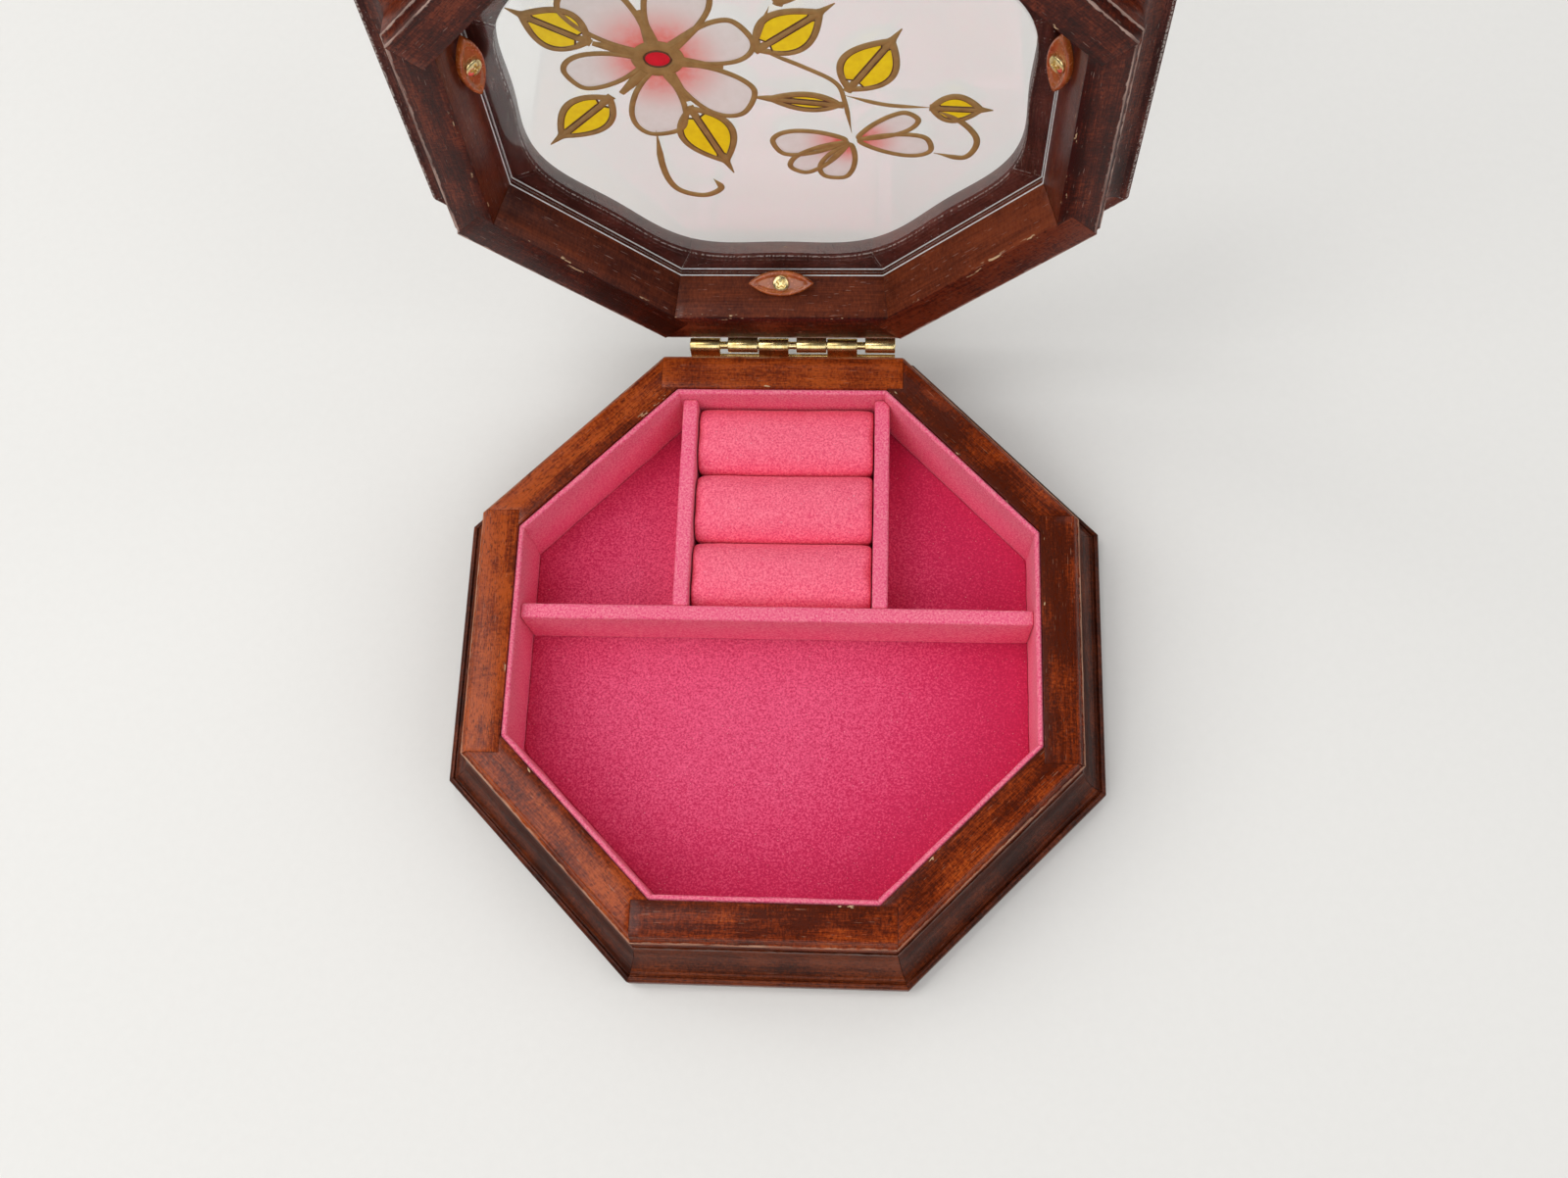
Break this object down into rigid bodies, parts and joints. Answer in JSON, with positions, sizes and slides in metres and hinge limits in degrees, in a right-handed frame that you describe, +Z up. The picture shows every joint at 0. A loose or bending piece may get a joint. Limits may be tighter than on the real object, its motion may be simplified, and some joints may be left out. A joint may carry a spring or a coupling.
{
  "type": "jewelry box",
  "caption": "Octagonal wooden jewelry box with a felt-lined tray, padded ring rolls and a hinged lid that frames a painted glass pane.",
  "frame": {"origin": "centre of the base's flat underside", "axes": "+X to the right as the open box is used, +Y towards the hinge, +Z up"},
  "size_m": [0.168, 0.1969, 0.1882],
  "materials": {
    "rim_wood": "satin lacquer over red-brown stain",
    "dark_wood": "gloss lacquer over dark mahogany stain",
    "lid_wood": "satin lacquer over mahogany stain",
    "panel_wood": "thin stain",
    "felt": "flocked pile",
    "roll_fabric": "short pile cloth over foam",
    "glass": "clear, with painted decoration",
    "clip_plastic": "translucent amber gloss",
    "brass": "bright stamped brass with light tarnish"
  },
  "bodies": {
    "base": {"base_panel": "panel_wood", "floor_pad": "felt", "divider_cross": "felt", "divider_left": "felt", "divider_right": "felt", "wall_right": "rim_wood", "wall_back_right": "rim_wood", "wall_back": "rim_wood", "wall_back_left": "rim_wood", "wall_left": "rim_wood", "wall_front_left": "rim_wood", "wall_front": "rim_wood", "wall_front_right": "rim_wood", "plinth_right": "dark_wood", "plinth_back_right": "dark_wood", "plinth_back": "dark_wood", "plinth_back_left": "dark_wood", "plinth_left": "dark_wood", "plinth_front_left": "dark_wood", "plinth_front": "dark_wood", "plinth_front_right": "dark_wood", "lining_right": "felt", "lining_back_right": "felt", "lining_back": "felt", "lining_back_left": "felt", "lining_left": "felt", "lining_front_left": "felt", "lining_front": "felt", "lining_front_right": "felt", "ring_roll_back": "roll_fabric", "ring_roll_middle": "roll_fabric", "ring_roll_front": "roll_fabric", "hinge_leaf_base": "brass", "hinge_pin": "brass", "hinge_screws_base": "brass"},
    "lid": {"lid_wall_right": "lid_wood", "lid_wall_back_right": "lid_wood", "lid_wall_back": "lid_wood", "lid_wall_back_left": "lid_wood", "lid_wall_left": "lid_wood", "lid_wall_front_left": "lid_wood", "lid_wall_front": "lid_wood", "lid_wall_front_right": "lid_wood", "lid_frame_right": "lid_wood", "lid_frame_back_right": "lid_wood", "lid_frame_back": "lid_wood", "lid_frame_back_left": "lid_wood", "lid_frame_left": "lid_wood", "lid_frame_front_left": "lid_wood", "lid_frame_front": "lid_wood", "lid_frame_front_right": "lid_wood", "glass_panel": "glass", "glass_clip_right": "clip_plastic", "glass_clip_back": "clip_plastic", "glass_clip_left": "clip_plastic", "glass_clip_front": "clip_plastic", "clip_screws": "brass", "hinge_leaf_lid": "brass", "hinge_screws_lid": "brass"}
  },
  "joints": [
    {"name": "lid_hinge", "type": "hinge", "parent": "base", "child": "lid", "pos_m": [0, 0.07845, 0.02815], "axis": [1, 0, 0], "range_deg": [0, 96]}
  ]
}
